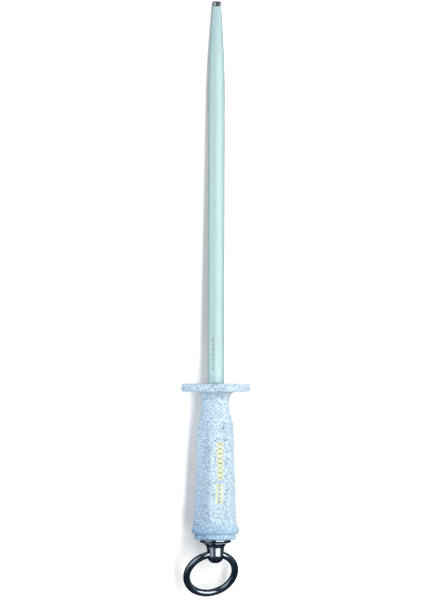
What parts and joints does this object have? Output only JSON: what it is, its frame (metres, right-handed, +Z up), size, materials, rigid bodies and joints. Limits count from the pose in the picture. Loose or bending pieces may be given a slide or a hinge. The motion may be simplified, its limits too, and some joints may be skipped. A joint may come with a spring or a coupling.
{
  "type": "knife sharpening steel",
  "caption": "Round tapered sharpening rod on a six-sided handle with a disc guard, an end cap, a swivel eye and a hanging ring.",
  "frame": {"origin": "on the rod's axis, where the rod leaves the guard's front face", "axes": "+Y along the rod to its tip, +X right and +Z up, square to the rod, with the guard's rim reaching down to z = -0.027"},
  "size_m": [0.054, 0.4674, 0.054],
  "materials": {
    "rod_steel": "satin chrome over fine lengthwise cut, polished nose",
    "grip_plastic": "matte, spark-eroded grain, pale blue",
    "fastener_steel": "zinc plated",
    "swivel_chrome": "mirror chrome",
    "foil_print": "hot-foil print"
  },
  "bodies": {
    "steel": {"sharpening_rod": "rod_steel", "handle": "grip_plastic", "end_cap": "grip_plastic", "tang_washer": "fastener_steel", "lock_washer": "fastener_steel", "tang_nut": "fastener_steel", "swivel_base": "swivel_chrome", "thrust_washer": "fastener_steel"},
    "swivel": {"swivel_eye": "swivel_chrome"},
    "ring": {"hanging_ring": "swivel_chrome"}
  },
  "joints": [
    {"name": "swivel_turn", "type": "hinge", "parent": "steel", "child": "swivel", "pos_m": [0, -0.1337, 0], "axis": [0, 1, 0], "continuous": true},
    {"name": "ring_swing", "type": "hinge", "parent": "swivel", "child": "ring", "pos_m": [0, -0.1337, 0], "axis": [0.9532, 0, -0.3024], "range_deg": [-139, 64]}
  ]
}
